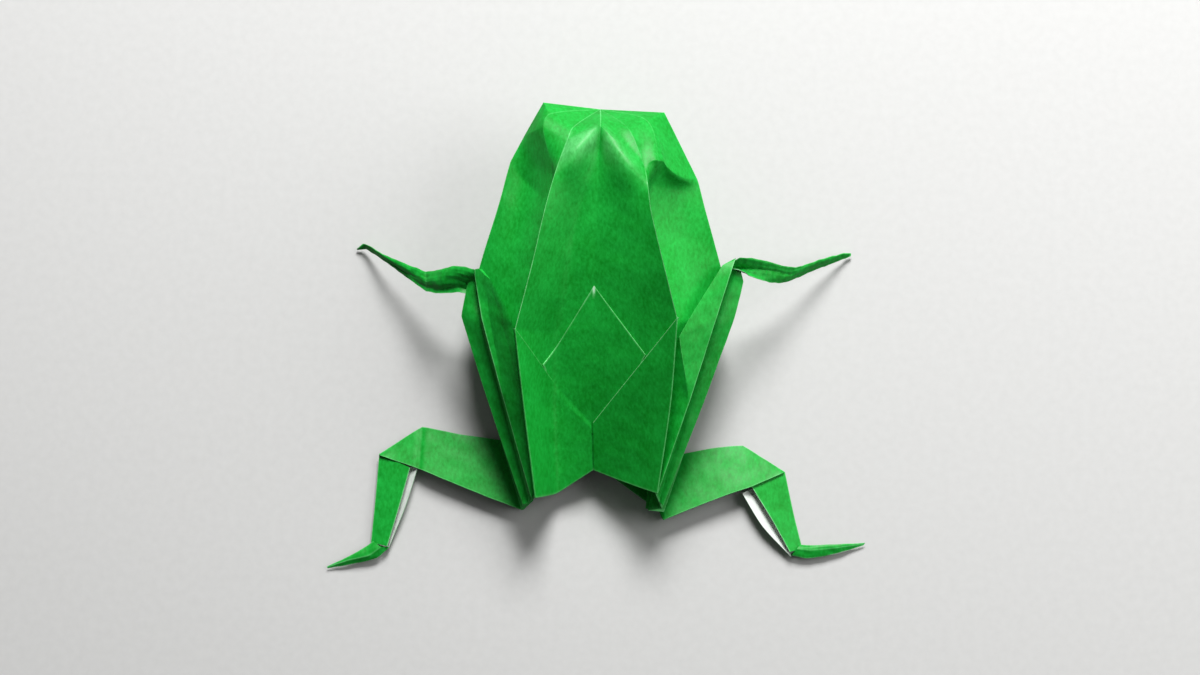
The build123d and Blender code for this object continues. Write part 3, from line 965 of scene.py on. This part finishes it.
# Thighs, from the hip to the knee
both_thighs = {
    "wear_and_highlight": {"upper rear edge": 0.3, "front fold": (0.0, 0.1, 0.15, 0.3, 0.5, 0.6), "lower rear edge": 0.2},
    "wall": 0.16, "columns": 12, "counts": (8, 14, 14, 14, 14), "softness": (0, 0, 0.8, 0.8, 0.1, 0),
    "taper": 0.08,
}
make_strip(
    "left_thigh",
    rails={
        "upper rear edge": [
            (-7.9, -50.9, 1.7), (-9.3, -52.4, 2.1), (-13.5, -50.9, 2.0), (-19.2, -48.7, 2.0),
            (-23.1, -47.1, 1.9), (-28.4, -45.3, 1.2),
        ],
        "front fold": [
            (-7.4, -45.0, 1.0), (-8.6, -43.6, 1.0), (-12.5, -42.9, 1.0), (-18.0, -42.2, 1.0),
            (-22.9, -41.3, 1.0), (-28.5, -45.1, 0.9),
        ],
        "lower rear edge": [
            (-7.9, -50.9, 0.7), (-9.2, -52.2, 0.6), (-13.4, -50.7, 0.5), (-19.1, -48.5, 0.45),
            (-23.0, -46.9, 0.4), (-28.3, -45.3, 0.4),
        ],
    },
    crumple=(0.03, 2.2, 11), dent=(4, 0.22), **both_thighs,
)
make_strip(
    "right_thigh",
    rails={
        "upper rear edge": [
            (8.1, -50.5, 1.5), (9.4, -53.4, 2.5), (13.8, -51.5, 2.4), (18.0, -49.8, 2.4),
            (21.0, -48.7, 2.2), (25.2, -46.6, 1.2),
        ],
        "front fold": [
            (7.4, -46.8, 0.8), (9.0, -45.0, 0.8), (12.6, -44.1, 0.8), (16.6, -43.3, 0.8),
            (19.8, -43.0, 0.8), (25.3, -46.4, 0.9),
        ],
        "lower rear edge": [
            (8.1, -50.5, 0.7), (9.3, -53.2, 0.6), (13.7, -51.3, 0.5), (17.9, -49.6, 0.45),
            (20.9, -48.5, 0.4), (25.1, -46.6, 0.4),
        ],
    },
    crumple=(0.03, 2.2, 13), flip=True, **both_thighs,
)

# Shins, from the knee to the ankle. The channel shows the white side of the paper
both_shins = {
    "wear_and_highlight": {"upper inner edge": 0.6, "outer fold": 0.4, "lower inner edge": 0.9},
    "wall": 0.12, "columns": 12, "counts": (24, 24), "taper": 0.12, "reverse": 1,
}
make_strip(
    "left_shin",
    rails={
        "upper inner edge": [
            (-24.3, -47.0, 1.8), (-25.5, -51.9, 1.7), (-27.0, -57.5, 1.4),
        ],
        "outer fold": [
            (-28.5, -45.0, 0.8), (-28.8, -51.0, 0.8), (-29.2, -56.9, 0.7),
        ],
        "channel": [
            (-24.6, -46.8, 0.4), (-25.7, -52.0, 0.4), (-27.2, -57.5, 0.4),
        ],
        "lower inner edge": [
            (-23.2, -46.6, 1.4), (-24.7, -52.0, 1.3), (-26.8, -57.6, 0.8),
        ],
    },
    crumple=(0.02, 2.2, 17), **both_shins,
)
make_strip(
    "right_shin",
    rails={
        "upper inner edge": [
            (20.8, -48.4, 1.8), (23.7, -53.0, 1.7), (26.1, -57.2, 1.4),
        ],
        "outer fold": [
            (25.4, -46.4, 0.8), (26.6, -52.0, 0.8), (27.8, -56.7, 0.7),
        ],
        "channel": [
            (21.2, -48.6, 0.4), (23.8, -53.2, 0.4), (26.3, -57.2, 0.4),
        ],
        "lower inner edge": [
            (19.7, -49.6, 1.5), (22.4, -53.9, 1.4), (26.2, -57.8, 0.8),
        ],
    },
    crumple=(0.02, 2.2, 19), flip=True, **both_shins,
)

# Feet, from the ankle to the tip
both_feet = {"wall": 0.14, "columns": 6, "counts": (14, 14, 14), "taper": 0.15, "tip": 1.0}
make_strip(
    "left_foot",
    rails={
        "lower rear edge": [
            (-26.9, -57.7, 0.4), (-28.6, -58.9, 0.3), (-31.9, -59.8, 0.3), (-34.8, -60.4, 0.3),
        ],
        "front fold": [
            (-28.9, -56.8, 0.8), (-30.4, -57.9, 0.9), (-32.2, -58.9, 0.8), (-34.95, -60.2, 0.4),
        ],
        "middle fold": [
            (-27.8, -57.6, 1.3), (-29.4, -58.7, 1.2), (-32.2, -59.4, 0.9), (-34.9, -60.3, 0.4),
        ],
        "upper rear edge": [
            (-26.8, -57.5, 0.9), (-28.4, -58.9, 0.7), (-31.9, -59.8, 0.5), (-34.8, -60.4, 0.3),
        ],
    },
    wear_and_highlight={
        "lower rear edge": 0.5,
        "front fold": (0.8, 1.0, 1.0, 1.0),
        "middle fold": (0.4, 0.8, 0.9, 1.0),
        "upper rear edge": (0.6, 1.0, 1.0, 1.0),
    },
    crumple=(0.05, 1.4, 41), **both_feet,
)
make_strip(
    "right_foot",
    rails={
        "lower rear edge": [
            (26.3, -57.5, 0.3), (28.5, -57.7, 0.3), (32.2, -57.0, 0.3), (36.0, -55.9, 0.3),
        ],
        "front fold": [
            (27.5, -56.2, 0.9), (29.4, -56.2, 1.0), (32.4, -56.0, 0.9), (36.1, -55.7, 0.4),
        ],
        "middle fold": [
            (27.0, -56.8, 1.3), (29.0, -56.9, 1.2), (32.2, -56.5, 1.0), (36.0, -55.8, 0.4),
        ],
        "upper rear edge": [
            (26.4, -57.5, 0.8), (28.4, -57.9, 0.7), (32.0, -57.2, 0.6), (35.9, -56.0, 0.3),
        ],
    },
    wear_and_highlight={
        "lower rear edge": 0.3,
        "front fold": (0.7, 0.7, 0.5, 1.0),
        "middle fold": (0.2, 0.5, 0.5, 1.0),
        "upper rear edge": (1.0, 0.9, 0.6, 1.0),
    },
    crumple=(0.05, 1.4, 43), flip=True, **both_feet,
)


# Floor, light and camera, in metres

def pale_floor():
    """A wide flat floor in pale grey card with a faint grain.

    Only the camera sees it so pale. To all other rays it is a darker grey, so
    that it throws little light back on the paper.
    """
    dark_grain = (0.60, 0.60, 0.59, 1)
    light_grain = (0.66, 0.66, 0.65, 1)
    unseen = (0.25, 0.25, 0.25, 1)
    reach = 3.0
    material = bpy.data.materials.new("pale_floor")
    f = Finish(material)
    place = f.node("ShaderNodeTexCoord", {}, {}, "Object")
    grain = f.node("ShaderNodeTexNoise", {}, {"Vector": place, "Scale": 900.0, "Detail": 3.0})
    camera_ray = f.node("ShaderNodeLightPath", {}, {}, "Is Camera Ray")
    colour = f.blended(camera_ray, unseen, f.blended(grain, dark_grain, light_grain))
    shader = f.node("ShaderNodeBsdfPrincipled", {}, {"Base Color": colour, "Roughness": 0.9})
    f.node("ShaderNodeOutputMaterial", {}, {"Surface": shader})
    mesh = bpy.data.meshes.new("floor")
    corners = [(-reach, -reach, 0), (reach, -reach, 0), (reach, reach, 0), (-reach, reach, 0)]
    mesh.from_pydata(corners, [], [(0, 1, 2, 3)])
    mesh.materials.append(material)
    floor = bpy.data.objects.new("floor", mesh)
    bpy.context.scene.collection.objects.link(floor)


def pale_world(strength, seen, glossy):
    """Even light from all round.

    strength lights the paper, seen is what the camera sees, and glossy is what
    reflections show.
    """
    white = (1.0, 1.0, 1.0, 1)
    world = bpy.data.worlds.new("soft_room")
    f = Finish(world)
    camera_ray = f.node("ShaderNodeLightPath", {}, {}, "Is Camera Ray")
    glossy_ray = f.node("ShaderNodeLightPath", {}, {}, "Is Glossy Ray")
    level = f.node("ShaderNodeMix", {}, {0: camera_ray, 2: strength, 3: seen})
    dimmed = f.node("ShaderNodeMix", {}, {0: glossy_ray, 2: level, 3: glossy})
    back = f.node("ShaderNodeBackground", {}, {"Color": white, "Strength": dimmed})
    f.node("ShaderNodeOutputWorld", {}, {"Surface": back})
    bpy.context.scene.world = world


def soft_lamp(name, place, size, power):
    """A square area lamp at a place, turned to the middle of the frog; size in metres, power in watts."""
    aim = (0.0, 0.0, 0.01)
    lamp = bpy.data.lights.new(name, "AREA")
    lamp.size = size
    lamp.energy = power
    holder = bpy.data.objects.new(name, lamp)
    holder.location = place
    holder.rotation_euler = (Vector(aim) - Vector(place)).to_track_quat("-Z", "Y").to_euler()
    bpy.context.scene.collection.objects.link(holder)


def photo_camera():
    """The photograph's view: from 78 degrees above the floor, behind the tail and a touch to the right."""
    above, aside = np.radians(78), np.radians(1.1)
    distance = 0.42
    target = np.array([0.0, 0.0, 0.008])
    back = np.array([np.sin(aside) * np.cos(above), -np.cos(aside) * np.cos(above), np.sin(above)])
    camera = bpy.data.cameras.new("photo_camera")
    camera.sensor_width = 36.0
    camera.lens = 95.76
    camera.clip_start = 0.01
    holder = bpy.data.objects.new("photo_camera", camera)
    holder.location = target + back * distance
    holder.rotation_euler = (Vector(-back)).to_track_quat("-Z", "Y").to_euler()
    bpy.context.scene.collection.objects.link(holder)
    bpy.context.scene.camera = holder


pale_floor()
pale_world(strength=0.08, seen=0.80, glossy=0.03)
soft_lamp("head_lamp", place=(0.03, 0.335, 0.305), size=0.18, power=3.0)
soft_lamp("right_lamp", place=(0.35, 0.05, 0.25), size=0.30, power=0.75)
photo_camera()
bpy.context.scene.view_settings.view_transform = "Standard"
